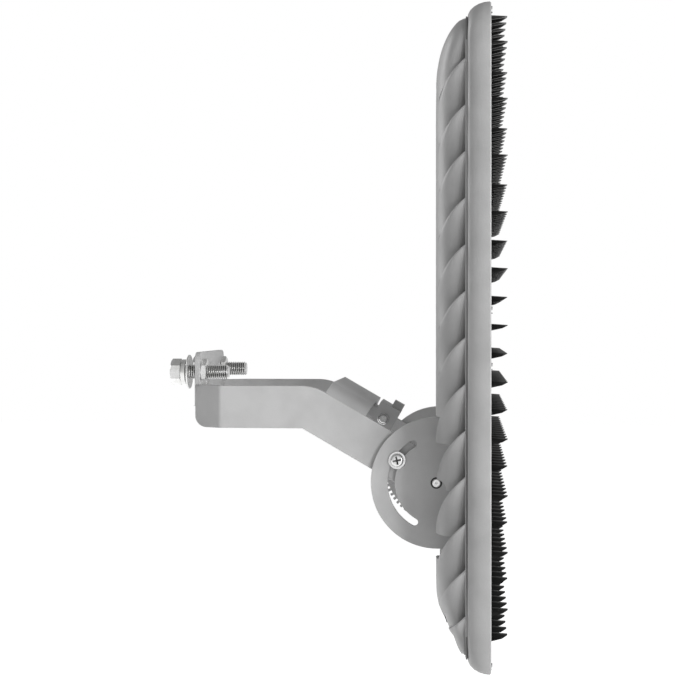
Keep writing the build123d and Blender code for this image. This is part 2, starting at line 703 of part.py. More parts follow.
def make_frame_hardware():
    gasket_low = flank_inset + gasket_edge
    ring = slab(seat_x, frame_rear_x, gasket_low, opening_corner_r)
    ring -= slab(seat_x, frame_rear_x, gasket_low + gasket_w, ledge_corner_r)
    for y, z in ledge_screw_places():
        ring -= rod(m3_r + thread_gap, gasket_t + overrun, (seat_x - overrun / 2, y, z), (1, 0, 0))
    save("frame_gasket", ring)

    trims = []
    for y, z in trim_screw_places():
        one = rod(m3_r, trim_length - edge_break, (front_x, y, z), (-1, 0, 0))
        trims.append(one + rod(trim_head_r, trim_head_h, (front_x, y, z), (1, 0, 0)))
    save("frame_trim_screws", Compound(children=trims))

    screws = []
    for y, z in ledge_screw_places():
        base = (frame_rear_x + ledge_t, y, z)
        one = rod(m3_r, ledge_t + gasket_t + floor_t - edge_break, base, (-1, 0, 0))
        screws.append(one + rod(m3_head_r, m3_head_h, base, (1, 0, 0)))
    save("frame_ledge_screws", Compound(children=screws))


save("front_frame", make_frame())
make_frame_hardware()


# Optical modules
def lens_places(module):
    """Y and Z of every lens in a module. Short and long rows take turns, half a column apart."""
    first = sum(rows_per_module[:module])
    places = []
    for row in range(first, first + rows_per_module[module]):
        columns = even_columns if row % 2 else odd_columns
        for column in range(columns):
            places.append(((column - (columns - 1) / 2) * column_pitch, lens_height(row)))
    return places


def module_sheet(module, x_low, x_high, inset, hole_r):
    """A rounded sheet that covers one module, with a hole at each lens and each screw."""
    first = sum(rows_per_module[:module])
    last = first + rows_per_module[module]
    half = head_h / 2 - inset
    high = half if first == 0 else (row_count / 2 - first) * row_pitch + module_shift - module_gap / 2
    low = -half if last == row_count else (row_count / 2 - last) * row_pitch + module_shift + module_gap / 2
    sketch = RectangleRounded(head_w - 2 * inset, 2 * half, opening_corner_r)
    sketch &= Pos(0, (low + high) / 2) * Rectangle(head_w, high - low)
    if hole_r:
        sketch -= [Pos(y, z - head_z) * Circle(hole_r) for y, z in lens_places(module)]
    return face_sheet(sketch, x_low, x_high, head_z)


def make_hood():
    """One hood, round its lens axis at Y = 0 and Z = 0: a cone shell cut to a beak."""
    root_x = panel_front_x - hood_skirt
    length = tip_x - root_x
    base = Plane(origin=(root_x, 0, 0), z_dir=(1, 0, 0))
    low = (Align.CENTER, Align.CENTER, Align.MIN)
    shell = base * Cone(hood_base_r, hood_tip_r, length, align=low)
    shell -= base * Cone(hood_base_r - hood_wall, hood_tip_r - hood_wall, length, align=low)
    keep = Polygon(
        (root_x, hood_base_cut_z), (tip_x - hood_mid_back, hood_mid_cut_z), (tip_x, hood_tip_cut_z),
        (tip_x, hood_base_r), (root_x, hood_base_r), align=None)
    return shell & side_sheet(keep, -hood_base_r, hood_base_r)


def make_lens():
    """One lens, round its own axis: a barrel in the panel's hole with a tapered front."""
    barrel = rod(lens_r, panel_t, (panel_back_x, 0, 0), (1, 0, 0))
    front = Plane(origin=(panel_front_x, 0, 0), z_dir=(1, 0, 0))
    low = (Align.CENTER, Align.CENTER, Align.MIN)
    return barrel + front * Cone(lens_r, lens_dome_r, lens_dome_h, align=low)


module_names = ("upper", "middle", "lower")
hood, lens = make_hood(), make_lens()
for module, name in enumerate(module_names):
    screw_places = spacer_places(module)
    panel = module_sheet(module, panel_back_x, panel_front_x, border + module_gap, lens_r + lens_gap)
    for y, z in screw_places:
        panel -= rod(m3_r + hole_gap / 2, panel_t + overrun, (panel_back_x - overrun / 2, y, z), (1, 0, 0))
    panel = panel.fuse(*[Pos(0, y, z) * hood for y, z in lens_places(module)])
    save(f"{name}_hood_panel", panel)

    sheet = module_sheet(module, lens_plate_back_x, panel_back_x, border + lip_w + lens_plate_edge, None)
    for y, z in screw_places:
        post_start = (lens_plate_back_x - overrun / 2, y, z)
        sheet -= rod(spacer_r + seat_gap, lens_plate_t + overrun, post_start, (1, 0, 0))
    sheet = sheet.fuse(*[Pos(0, y, z) * lens for y, z in lens_places(module)])
    save(f"{name}_lens_plate", sheet)

    board_inset = border + lip_w + ledge_w + board_edge
    board = module_sheet(module, seat_x, seat_x + board_t, board_inset, None)
    for y, z in screw_places:
        board -= rod(spacer_r + seat_gap, board_t + overrun, (seat_x - overrun / 2, y, z), (1, 0, 0))
    chip_x = seat_x + board_t
    chips = [
        block(chip_x, chip_x + chip_h, y - chip_w / 2, y + chip_w / 2, z - chip_w / 2, z + chip_w / 2)
        for y, z in lens_places(module)]
    save(f"{name}_led_board", board.fuse(*chips))


def make_panel_hardware():
    spacers, screws = [], []
    for module in range(len(rows_per_module)):
        for y, z in spacer_places(module):
            post = rod(spacer_r, panel_back_x - seat_x, (seat_x, y, z), (1, 0, 0))
            post -= rod(m3_r + thread_gap, stud_depth + edge_break, (panel_back_x, y, z), (-1, 0, 0))
            post += rod(m3_r, stud_depth, (seat_x, y, z), (-1, 0, 0))
            spacers.append(post)
            screw = rod(m3_r, panel_t + stud_depth, (panel_front_x, y, z), (-1, 0, 0))
            screws.append(screw + rod(m3_head_r, m3_head_h, (panel_front_x, y, z), (1, 0, 0)))
    save("panel_spacers", Compound(children=spacers))
    save("panel_screws", Compound(children=screws))


make_panel_hardware()


# Junction box
def box_slab(x_low, x_high, inset):
    """A rounded slab over the junction box's outline, drawn in by an inset."""
    width, height = 2 * (box_half - inset), box_high_z - box_low_z - 2 * inset
    sketch = RectangleRounded(width, height, max(box_corner_r - inset, edge_break))
    return face_sheet(sketch, x_low, x_high, (box_low_z + box_high_z) / 2)


def make_box():
    box = box_slab(box_back_x, floor_x, 0) - box_slab(box_back_x, floor_x - box_wall, box_wall)
    for y, z in box_screw_places():
        post = rod(post_r, box_depth, (box_back_x, y, z), (1, 0, 0))
        box += post & box_slab(box_back_x, floor_x, edge_break)
        box -= rod(m4_r + thread_gap, box_depth + overrun, (box_back_x - overrun / 2, y, z), (1, 0, 0))
    gland_x = floor_x - gland_back
    wall_low, through = box_low_z - overrun / 2, box_wall + overrun
    box -= rod(gland_r + thread_gap, through, (gland_x, 0, wall_low), (0, 0, 1))
    box -= rod(vent_r + thread_gap, through, (gland_x, vent_offset, wall_low), (0, 0, 1))
    for y, z in lead_places():
        box -= rod(lead_r + grommet_wall, through, (floor_x - box_wall - overrun / 2, y, z), (1, 0, 0))
    save("junction_box", box)

    seal_x = box_back_x - seal_t
    seal = box_slab(seal_x, box_back_x, 0) - box_slab(seal_x, box_back_x, box_wall)
    for y, z in box_screw_places():
        seal += rod(post_r, seal_t, (seal_x, y, z), (1, 0, 0)) & box_slab(seal_x, box_back_x, edge_break)
        seal -= rod(m4_r + bore_gap, seal_t + overrun, (seal_x - overrun / 2, y, z), (1, 0, 0))
    save("junction_box_seal", seal)

    lid_x = seal_x - lid_t
    lid = box_slab(lid_x, seal_x, 0)
    screws = []
    for y, z in box_screw_places():
        lid -= rod(m4_r + hole_gap / 2, lid_t + overrun, (lid_x - overrun / 2, y, z), (1, 0, 0))
        lid -= rod(m4_head_r + hole_gap / 2, m4_head_h, (lid_x, y, z), (1, 0, 0))
        head_x = lid_x + m4_head_h
        one = rod(m4_head_r, m4_head_h, (lid_x, y, z), (1, 0, 0))
        screws.append(one + rod(m4_r, floor_x + floor_t - edge_break - head_x, (head_x, y, z), (1, 0, 0)))
    save("junction_box_lid", lid)
    save("junction_box_screws", Compound(children=screws))


def make_box_fittings():
    base_x = floor_x - box_wall
    centre_z = (box_low_z + box_high_z) / 2 + terminal_rise
    terminal = block(
        base_x - terminal_depth, base_x, -terminal_w / 2, terminal_w / 2,
        centre_z - terminal_h / 2, centre_z + terminal_h / 2)
    screws = []
    for pole in range(terminal_poles):
        y = (pole - (terminal_poles - 1) / 2) * terminal_w / terminal_poles
        for side in (-1, 1):
            place = (base_x - terminal_depth, y, centre_z + side * terminal_h / 4)
            terminal -= rod(terminal_screw_r + thread_gap, terminal_screw_depth, place, (1, 0, 0))
            screws.append(rod(terminal_screw_r, terminal_screw_depth - edge_break, (
                place[0] + edge_break, place[1], place[2]), (1, 0, 0)))
    save("terminal_block", terminal)
    save("terminal_screws", Compound(children=screws))

    gland_x = floor_x - gland_back
    collar_z = box_low_z - gland_flange_t
    gland = hexagon(gland_flats, gland_flange_t, (gland_x, 0, box_low_z), (0, 0, -1))
    gland += rod(gland_r, box_wall + gland_inside, (gland_x, 0, box_low_z), (0, 0, 1))
    gland += rod(gland_r, gland_cap_h - box_wall, (gland_x, 0, collar_z), (0, 0, -1))
    gland -= rod(gland_bore_r, 2 * (gland_cap_h + gland_flange_t + gland_inside), (
        gland_x, 0, collar_z - gland_cap_h), (0, 0, 1))
    save("cable_gland", gland)
    cap = rod(gland_cap_r, gland_cap_h, (gland_x, 0, collar_z), (0, 0, -1))
    cap -= rod(gland_r + thread_gap, gland_cap_h - box_wall, (gland_x, 0, collar_z), (0, 0, -1))
    cap -= rod(gland_bore_r, gland_cap_h, (gland_x, 0, collar_z), (0, 0, -1))
    save("cable_gland_cap", cap)

    vent = rod(vent_r, box_wall + gland_inside, (gland_x, vent_offset, box_low_z), (0, 0, 1))
    vent += rod(vent_head_r, vent_head_h, (gland_x, vent_offset, box_low_z), (0, 0, -1))
    save("breather_vent", vent)

    grommets, leads = [], []
    for y, z in lead_places():
        start = (base_x - grommet_wall, y, z)
        sleeve = rod(lead_r + grommet_wall, box_wall + floor_t + grommet_wall, start, (1, 0, 0))
        grommets.append(sleeve - rod(lead_r + thread_gap, 2 * box_depth, start, (1, 0, 0)))
        leads.append(rod(lead_r, seat_x - base_x + lead_inside, (base_x - lead_inside, y, z), (1, 0, 0)))
    save("lead_grommets", Compound(children=grommets))
    save("led_leads", Compound(children=leads))


make_box()
make_box_fittings()
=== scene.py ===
# %% [markdown]
# # A sports light in its stirrup
#
# The object is a flat LED flood light for a sports ground, seen from its side. A cast head carries rows of
# small lenses under black hoods, two ear plates stand behind it, and a bent stirrup holds the ears on two
# pivot bolts. The solids come from the CAD pack, in one frame that never moves. This lesson keeps each solid
# where it is, gives it a finish, and swaps some for pieces with finer form.

# %% Load the frame
import json
import math

import bmesh
import bpy
from mathutils import Matrix, Vector

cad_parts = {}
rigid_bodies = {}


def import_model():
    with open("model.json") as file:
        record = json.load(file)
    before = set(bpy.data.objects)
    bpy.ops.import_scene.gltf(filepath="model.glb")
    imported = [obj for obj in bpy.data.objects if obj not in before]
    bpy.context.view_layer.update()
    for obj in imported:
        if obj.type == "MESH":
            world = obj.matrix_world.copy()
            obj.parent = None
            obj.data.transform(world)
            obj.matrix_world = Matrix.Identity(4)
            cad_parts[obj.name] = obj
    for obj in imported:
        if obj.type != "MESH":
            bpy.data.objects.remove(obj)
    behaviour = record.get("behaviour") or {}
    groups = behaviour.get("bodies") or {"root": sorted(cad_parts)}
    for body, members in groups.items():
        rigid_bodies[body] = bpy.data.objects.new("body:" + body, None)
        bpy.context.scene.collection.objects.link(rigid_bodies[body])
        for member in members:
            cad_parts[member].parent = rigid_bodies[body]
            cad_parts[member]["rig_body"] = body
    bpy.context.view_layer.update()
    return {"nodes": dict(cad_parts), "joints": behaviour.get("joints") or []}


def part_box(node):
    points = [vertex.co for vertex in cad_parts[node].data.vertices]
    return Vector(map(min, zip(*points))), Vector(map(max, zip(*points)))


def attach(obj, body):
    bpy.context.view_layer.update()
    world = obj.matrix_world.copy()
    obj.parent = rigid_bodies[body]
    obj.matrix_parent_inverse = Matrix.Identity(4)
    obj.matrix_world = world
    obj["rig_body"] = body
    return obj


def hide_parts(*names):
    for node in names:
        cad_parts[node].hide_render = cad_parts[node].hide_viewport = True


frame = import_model()
nodes = frame["nodes"]
mm = 0.001

# %% [markdown]
# ## The camera
#
# The photograph is taken from the side, about one and a half metres away, level with the middle of the head.
# The far arm shows a little above and beside the near one, which fixes the distance, and the front of the
# head shows as a thin row of hood tips, which fixes the turn of a few degrees.

# %% Place the camera
camera_place = (0.2570, -1.4828, 0.0770)
camera_turn = 4.86
camera_lens = 79.66
camera_drop = -0.0185

lens = bpy.data.cameras.new("photo_camera")
lens.lens = camera_lens
lens.sensor_width = 36
lens.shift_y = camera_drop
camera = bpy.data.objects.new("photo_camera", lens)
camera.location = camera_place
camera.rotation_euler = (math.radians(90), 0, math.radians(camera_turn))
bpy.context.scene.collection.objects.link(camera)
bpy.context.scene.camera = camera
bpy.context.scene.view_settings.view_transform = "Standard"
print("camera", camera_place, "turned", camera_turn, "degrees")

# %% [markdown]
# ## Writing shader maths as Python
#
# A material is a graph of nodes. Instead of placing them by hand, one small class wraps an output socket,
# so that `mask * 0.5` adds a Math node by itself. A second class holds a material and makes every other node
# with one method, settings first and sockets second.

# %% Wrap a socket and a material
# The Mix node has sockets for numbers, vectors and colours, and these are the places of the colour ones.
mix_low, mix_high, mix_out = 6, 7, 2


class Signal:
    """A socket that carries a value, with Python's arithmetic."""

    def __init__(self, finish, socket):
        self.finish, self.socket = finish, socket

    def maths(self, operation, *values):
        return self.finish.node("Math", {"operation": operation}, dict(enumerate(values)))

    def __add__(self, other):
        return self.maths("ADD", self, other)

    def __mul__(self, other):
        return self.maths("MULTIPLY", self, other)

    def larger(self, other):
        return self.maths("MAXIMUM", self, other)

    def between(self, low, high):
        """0 below low, 1 above high, and an even slope from one to the other."""
        ends = {"Value": self, "From Min": low, "From Max": high}
        return self.finish.node("MapRange", {"clamp": True}, ends)

    __radd__, __rmul__ = __add__, __mul__


class Finish:
    """A material on one Principled shader, whose constants are set on its own sockets."""

    def __init__(self, name, **constants):
        self.material = bpy.data.materials.new(name)
        self.material.use_nodes = True
        self.tree = self.material.node_tree
        self.shader = self.tree.nodes["Principled BSDF"]
        for socket, value in constants.items():
            self.put(socket.replace("_", " "), value)

    def join(self, socket, value):
        if isinstance(value, Signal):
            self.tree.links.new(value.socket, socket)
        else:
            socket.default_value = value

    def put(self, socket, value):
        self.join(self.shader.inputs[socket], value)

    def node(self, kind, settings=None, sockets=None, output=0):
        made = self.tree.nodes.new("ShaderNode" + kind)
        for key, value in (settings or {}).items():
            setattr(made, key, value)
        for key, value in (sockets or {}).items():
            self.join(made.inputs[key], value)
        return Signal(self, made.outputs[output])

    def place(self):
        """Object coordinates, in metres, which are the frame's own because each piece sits at the origin."""
        return self.node("TexCoord", output="Object")

    def noise(self, grain, detail=3.0, stretch=(1, 1, 1)):
        """Noise from 0 to 1 whose lumps are about grain metres wide."""
        place = self.node("Mapping", None, {"Vector": self.place(), "Scale": stretch})
        return self.node("TexNoise", None, {"Vector": place, "Scale": 1 / grain, "Detail": detail})

    def blend(self, factor, low, high):
        """One colour turning into another. A Math node would turn a colour grey, so this is a Mix node."""
        sockets = {"Factor": factor, mix_low: low, mix_high: high}
        return self.node("Mix", {"data_type": "RGBA"}, sockets, output=mix_out)

    def relief(self, height, depth):
        """Fine relief that is depth metres deep."""
        return self.put("Normal", self.node("Bump", None, {"Height": height, "Distance": depth}))


print("ready to write materials")

# %% [markdown]
# ## Light, floor and backdrop
#
# The photograph is a cut-out on white, lit softly from the front of the head, so that every shape is pale
# on its right and falls off to the left and to the top. A strong lamp stands front right, and a larger,
# weaker one behind. The world fills the rest: it is white where the camera looks, and for surfaces and
# mirrors it is brighter to the right and below than to the left and above. The floor lies well below and
# keeps the shadow.

# %% Light the scene
def grey(level, tint=(1, 1, 1)):
    """A neutral colour from its screen level, 0 to 255, as a paint card would be read."""
    share = level / 255
    linear = share / 12.92 if share <= 0.04045 else ((share + 0.055) / 1.055) ** 2.4
    return (linear * tint[0], linear * tint[1], linear * tint[2], 1)


def soft_lamp(name, place, aim, size, watts):
    lamp = bpy.data.lights.new(name, "AREA")
    lamp.shape, lamp.size, lamp.energy = "SQUARE", size, watts
    holder = bpy.data.objects.new(name, lamp)
    holder.location = place
    holder.rotation_euler = (Vector(aim) - Vector(place)).to_track_quat("-Z", "Y").to_euler()
    bpy.context.scene.collection.objects.link(holder)


middle = (0.2, 0, 0.06)
key_place, key_size, key_watts = (2.0, -2.0, 0.3), 1.0, 45
back_place, back_size, back_watts = (-2.2, 1.4, 0.9), 1.4, 26
soft_lamp("key_lamp", key_place, middle, key_size, key_watts)
soft_lamp("back_lamp", back_place, middle, back_size, back_watts)
print("two soft lamps")

# %% Paint the world by direction
world = bpy.data.worlds.new("white_studio")
world.use_nodes = True
bpy.context.scene.world = world
studio = world.node_tree


def studio_node(kind, values=(), operation=None, output=0):
    made = studio.nodes.new("ShaderNode" + kind)
    if operation:
        made.operation = operation
    for socket, value in zip(made.inputs, values):
        if isinstance(value, bpy.types.NodeSocket):
            studio.links.new(value, socket)
        else:
            socket.default_value = value
    return made.outputs[output]


def lean(start, towards):
    """A level from 0 to 1 that starts at one number and grows along a direction."""
    ray_way = studio_node("TexCoord", output="Generated")
    dot = studio_node("VectorMath", (ray_way, towards), "DOT_PRODUCT", "Value")
    total = studio_node("Math", (dot, start), "ADD")
    return studio_node("Clamp", (total,))


def choose(switch, low, high):
    """The low level where a ray's switch is 0, and the high level where it is 1."""
    return studio_node("MapRange", (switch, 0, 1, low, high))


fill_start, fill_lean = 0.37, (0.11, -0.05, -0.06)
mirror_start, mirror_lean = 0.64, (0.26, -0.08, -0.34)
fill = lean(fill_start, fill_lean)
mirror_level = lean(mirror_start, mirror_lean)
ray_kinds = ("Is Camera Ray", "Is Glossy Ray", "Is Transmission Ray")
rays = {kind: studio_node("LightPath", output=kind) for kind in ray_kinds}
through = studio_node("Math", (rays["Is Camera Ray"], rays["Is Transmission Ray"]), "MAXIMUM")
level = choose(through, choose(rays["Is Glossy Ray"], fill, mirror_level), 1.0)
studio.links.new(level, studio.nodes["Background"].inputs["Color"])
print("world nodes:", len(studio.nodes))

# %% Lay the floor
floor_level = -0.62
floor_half = 9.0
floor_shade, floor_glow, no_glow = grey(240), grey(222), grey(0)
slab = bmesh.new()
bmesh.ops.create_grid(
    slab, x_segments=1, y_segments=1, size=floor_half, matrix=Matrix.Translation((0, 0, floor_level)))
floor_mesh = bpy.data.meshes.new("floor")
slab.to_mesh(floor_mesh)
slab.free()
floor = bpy.data.objects.new("floor", floor_mesh)
bpy.context.scene.collection.objects.link(floor)
floor_paint = Finish(
    "floor_paint", Roughness=1.0, Specular_IOR_Level=0.0, Base_Color=floor_shade, Emission_Strength=1.0)
watched = floor_paint.node("LightPath", output="Is Camera Ray")
mirrored = floor_paint.node("LightPath", output="Is Glossy Ray")
floor_paint.put("Emission Color", floor_paint.blend(watched.larger(mirrored), no_glow, floor_glow))
floor_mesh.materials.append(floor_paint.material)
print("floor at", floor_level, "m")

# %% [markdown]
# ## Powder coat
#
# The bracket, ears and castings are painted with a grey metallic powder that melts in an oven. Up close it
# has an orange-peel skin, with lumps over a millimetre wide, under which fine flakes glint. So the recipe is
# one function: soft patches in the colour and the gloss, flakes that turn the coat metallic in specks, and a
# shallow relief for the skin. Pieces with valleys carry how deep each place lies, as a number from 0 to 1 at
# each corner, and the coat is painted darker there: painted shade for the shadow that falls in the valleys.

# %% Mix the powder coats
# Noise keeps to the middle of its range, so these spans stretch it. A narrow span gives hard edges.
narrow, medium, wide, upper = (0.35, 0.65), (0.3, 0.7), (0.2, 0.8), (0.45, 0.75)
peel_grain, peel_depth = 0.0016, 0.00007
flake_grain, flake_share, flake_metal = 0.0004, 0.4, 0.25
patch_grain, patch_share, patch_rough, patchiness = 0.035, 0.6, 0.08, 0.05
# Painted shade: in the valleys of the scales the coat turns towards a darker grey.
valley_shade_share, valley_shade_level = 0.75, 0.55


def powder_coat(name, level, rough=0.42):
    finish = Finish(name)
    patch = finish.noise(patch_grain, detail=4)
    flake = finish.noise(flake_grain, detail=1)
    share = patch.between(*narrow) * patch_share + flake.between(*medium) * flake_share
    coat = finish.blend(share, grey(level * (1 - patchiness)), grey(level * (1 + patchiness)))
    # How deep a place lies in a valley, which paints shade into the coat.
    valley_shade = finish.node("Attribute", {"attribute_name": "valley"}, output="Fac")
    finish.put("Base Color", finish.blend(valley_shade * valley_shade_share, coat, grey(level * valley_shade_level)))
    finish.put("Metallic", flake.between(*upper) * flake_metal)
    finish.put("Roughness", patch.between(*medium) * patch_rough + rough)
    finish.relief(finish.noise(peel_grain, detail=2), peel_depth)
    return finish


finishes = {}
finishes["bracket_paint"] = powder_coat("bracket_paint", 198)
finishes["ear_paint"] = powder_coat("ear_paint", 205)
finishes["housing_paint"] = powder_coat("housing_paint", 183)
finishes["stop_paint"] = powder_coat("stop_paint", 196, rough=0.5)
print("powder coats:", sorted(finishes))

# %% [markdown]
# ## Bare metals
#
# A screw is bright where it was turned and painted darker in its corners. Zinc plate is nearly white,
# aluminium fins keep the long streaks of the tool, and bronze and brass are warmer. Each is metal, the dull
# skins of the zinc and the fins a little less so, with clouds in its colour and fine streaks in its
# roughness. The roots of threads and the cross recesses are painted nearly black by the same depth number as
# for the paint, as painted shade.

# %% Plate and polish the metals
streak_grain, streak_depth, streak_rough = 0.0009, 0.00002, 0.16
cloud_grain = 0.009
# Painted shade: thread roots and recesses turn nearly black.
recess_shade, recess_shade_share = grey(38), 0.92


def bare_metal(name, low, high, rough, stretch=(1, 1, 1), metal=1.0):
    finish = Finish(name, Metallic=metal)
    cloud = finish.noise(cloud_grain, detail=3)
    streak = finish.noise(streak_grain, detail=2, stretch=stretch)
    # How deep a corner lies in a root or recess, which paints shade into the metal.
    recess_shade_mask = finish.node("Attribute", {"attribute_name": "valley"}, output="Fac")
    plate = finish.blend(cloud.between(*narrow), low, high)
    finish.put("Base Color", finish.blend(recess_shade_mask * recess_shade_share, plate, recess_shade))
    finish.put("Roughness", streak.between(*wide) * streak_rough + rough)
    finish.relief(streak, streak_depth)
    return finish


along_fin = (1, 1, 0.03)
finishes["bare_aluminium"] = bare_metal("bare_aluminium", grey(206), grey(230), 0.42, along_fin, metal=0.6)
finishes["zinc_plate"] = bare_metal("zinc_plate", grey(228, (1, 1, 0.98)), grey(246), 0.14, metal=0.8)
finishes["screw_steel"] = bare_metal("screw_steel", grey(212), grey(236), 0.16)
finishes["bush_bronze"] = bare_metal(
    "bush_bronze", grey(178, (1.15, 0.86, 0.5)), grey(196, (1.15, 0.9, 0.58)), 0.32)
finishes["brass"] = bare_metal("brass", grey(200, (1.1, 0.88, 0.42)), grey(216, (1.1, 0.92, 0.5)), 0.24)
print("metals ready, finishes so far", len(finishes))

# %% [markdown]
# ## Plastics, rubber and the lenses
#
# The hoods are moulded in black plastic with a fine spark-eroded grain and a soft gloss. The box fittings
# are grey nylon, the seals dull grey silicone, and the boards wear a glossy white mask. The lenses are clear
# acrylic, so they are the one finish with transmission, which sits on the shader's own socket.

# %% Mould the plastics
pore_rough, haze_rough, lens_rough = 0.12, 0.05, 0.02


def moulded(name, level, rough, grain=0.0005, depth=0.00004, tint=(1, 1, 1), patchiness=0.06):
    finish = Finish(name, IOR=1.5)
    cloud = finish.noise(patch_grain, detail=3)
    pore = finish.noise(grain, detail=2)
    shades = grey(level * (1 - patchiness), tint), grey(level * (1 + patchiness), tint)
    finish.put("Base Color", finish.blend(cloud.between(*narrow), *shades))
    finish.put("Roughness", pore.between(*wide) * pore_rough + rough)
    finish.relief(pore, depth)
    return finish


finishes["black_plastic"] = moulded("black_plastic", 12, 0.3)
finishes["grey_plastic"] = moulded("grey_plastic", 112, 0.42)
finishes["seal_rubber"] = moulded("seal_rubber", 128, 0.62, grain=0.0012)
finishes["board_white"] = moulded("board_white", 226, 0.28, grain=0.002, depth=0.00001, patchiness=0.02)
finishes["lead_sheath"] = moulded("lead_sheath", 64, 0.4, tint=(1.5, 0.5, 0.4))

clear = Finish("lens_clear", IOR=1.49, Transmission_Weight=1.0)
haze = clear.noise(patch_grain, detail=3)
clear.put("Base Color", clear.blend(haze, grey(244), grey(252)))
clear.put("Roughness", haze.between(*medium) * haze_rough + lens_rough)
finishes["lens_clear"] = clear
print("finishes:", len(finishes))

# %% [markdown]
# ## Give every solid its finish
#
# The pack already names a material slot for each solid, so the finish is looked up by that name. Nothing is
# painted by hand, and a solid that is kept as it is needs no more than this.

# %% Paint the solids
slot_of = {name: solid.data.materials[0].name.split(".")[0] for name, solid in nodes.items()}
for name, solid in nodes.items():
    solid.data.materials[0] = finishes[slot_of[name]].material
print({slot: list(slot_of.values()).count(slot) for slot in sorted(set(slot_of.values()))})

# %% [markdown]
# ## Small helpers for pieces
#
# Every new piece is a bmesh that becomes one object at the origin, with its place in its mesh. It rides on a
# body, takes a finish by slot, and may stand for a solid of the pack, which is then hidden.

# %% Turn a bmesh into a piece
merge_dist, scrap_dist = 0.002 * mm, 0.001 * mm


def set_normals(bm, smooth_below=38):
    """Merged corners, outward faces, and smooth shading except across sharp edges."""
    bmesh.ops.remove_doubles(bm, verts=bm.verts, dist=merge_dist)
    bmesh.ops.dissolve_degenerate(bm, edges=bm.edges, dist=scrap_dist)
    bmesh.ops.recalc_face_normals(bm, faces=bm.faces)
    for face in bm.faces:
        face.smooth = True
    for edge in bm.edges:
        edge.smooth = not edge.is_manifold or edge.calc_face_angle() < math.radians(smooth_below)


def piece(name, bm, body, slot, stands_for=()):
    mesh = bpy.data.meshes.new(name)
    bm.to_mesh(mesh)
    bm.free()
    mesh.materials.append(finishes[slot].material)
    made = bpy.data.objects.new(name, mesh)
    bpy.context.scene.collection.objects.link(made)
    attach(made, body)
    if stands_for:
        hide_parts(*stands_for)
    print(name, len(mesh.polygons), "faces")
    return made


def add_to(target, bm, place=Matrix()):
    """Moves one bmesh to its place, adds it to another and frees it."""
    bm.transform(place)
    spare = bpy.data.meshes.new("spare")
    bm.to_mesh(spare)
    bm.free()
    target.from_mesh(spare)
    bpy.data.meshes.remove(spare)


print("ready to make pieces")

# %% [markdown]
# ## The housing and its scales
#
# The back casting is a shallow tray with a rounded shoulder. Along each side the shoulder is broken up into
# overlapping scales, like the tiles of a roof stood on end: each has a raised leading edge, which is an arc,
# and dives inwards behind it until the next one stands over it. The photograph shows them as a row of lit
# crescents that fade into shade.
#
# A sculpted shell or a height map could do this, but both would leave ragged arcs. Here each scale is its
# own small grid whose left side runs exactly along its arc, and whose rows are bent onto the shoulder.

# %% Describe the shoulder
low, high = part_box("rear_housing")
tray_step, seat_gap = 1.4 * mm, 0.1 * mm
crest_x, tray_x = low.x, low.x + tray_step
flank_y, foot_z, head_top = high.y, low.z, high.z
head_z = (foot_z + head_top) / 2
band_rear_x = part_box("front_frame")[0].x
seat_x = band_rear_x - seat_gap
shoulder_in = 50 * mm
inner_y, inner_z = flank_y - shoulder_in, head_top - head_z - shoulder_in
corner_r, crest_corner_r = 24 * mm, 50 * mm
foot_half, foot_rise, foot_bulge = 285 * mm, 45 * mm, 2 * mm
foot_bend, foot_lobes, foot_rim = 0.9, 3, 0.15
halvings = 24


def end_half(turn, z):
    """Half the height at a turn of the shoulder: an ellipse at the top, a long lobed bevel at the foot."""
    if z > head_z:
        return inner_z + shoulder_in * math.cos(turn)
    share = max(math.sin(turn) - foot_rim, 0) / (1 - foot_rim)
    lobe = abs(math.sin(foot_lobes * math.pi * share))
    return foot_half - foot_rise * share ** foot_bend + foot_bulge * lobe


def end_turn(z):
    """The turn at which the head ends at a height, found by halving."""
    near_end, past_end = 0, math.radians(90)
    for _ in range(halvings):
        turn = (near_end + past_end) / 2
        if end_half(turn, z) > abs(z - head_z):
            near_end = turn
        else:
            past_end = turn
    return near_end


def shoulder_point(turn, sunk, z, side):
    """A point on the shoulder. Its turn is 0 at the flank and 90 degrees at the crest; sunk is its depth."""
    corner = corner_r + (crest_corner_r - corner_r) * (1 - math.cos(turn))
    past = min(max(abs(z - head_z) - (end_half(turn, z) - corner), 0), corner)
    drop = corner - math.sqrt(corner * corner - past * past)
    across = inner_y + (shoulder_in - sunk) * math.cos(turn) - drop
    return Vector((seat_x - (seat_x - crest_x - sunk) * math.sin(turn), side * across, z))


print("shoulder from", round(flank_y / mm, 1), "in to", round(inner_y / mm, 1), "mm")

# %% Describe one scale
scale_count, scale_pitch, scale_mid = 13, 40.9 * mm, 2 * mm
scale_r, scale_centre, scale_drop = 67.7 * mm, 38.6 * mm, 55.6 * mm
scale_depth, scale_reach, scale_curve = 14.5 * mm, 29 * mm, 1.35
pivot_x, _, pivot_z = frame["joints"][0]["pos_m"]
bay_half, pivot_clear, edge_round = 64 * mm, 8 * mm, 0.5 * mm


def scale_start(index):
    """Height where a scale's leading arc meets the band."""
    return head_z + scale_mid + ((scale_count - 1) / 2 - index) * scale_pitch


def behind_edge(index, x, z):
    """How far a place lies behind a scale's leading arc, towards the centre of its circle."""
    across = x - band_rear_x - scale_centre
    return scale_r - math.hypot(across, z - scale_start(index) + scale_drop)


def edge_turn(index, z):
    """The turn where a scale starts: at its leading arc, the pivot's clearance or the end of the head."""
    rise = z - scale_start(index) + scale_drop
    x = crest_x
    if rise > 0:
        x = band_rear_x + scale_centre - math.sqrt(max(scale_r * scale_r - rise * rise, 0))
    if abs(z - pivot_z) < pivot_clear:
        x = max(x, pivot_x + math.sqrt(pivot_clear * pivot_clear - (z - pivot_z) ** 2))
    turn = math.asin(min(max((seat_x - x) / (seat_x - crest_x), 0), 1))
    return min(turn, end_turn(z))


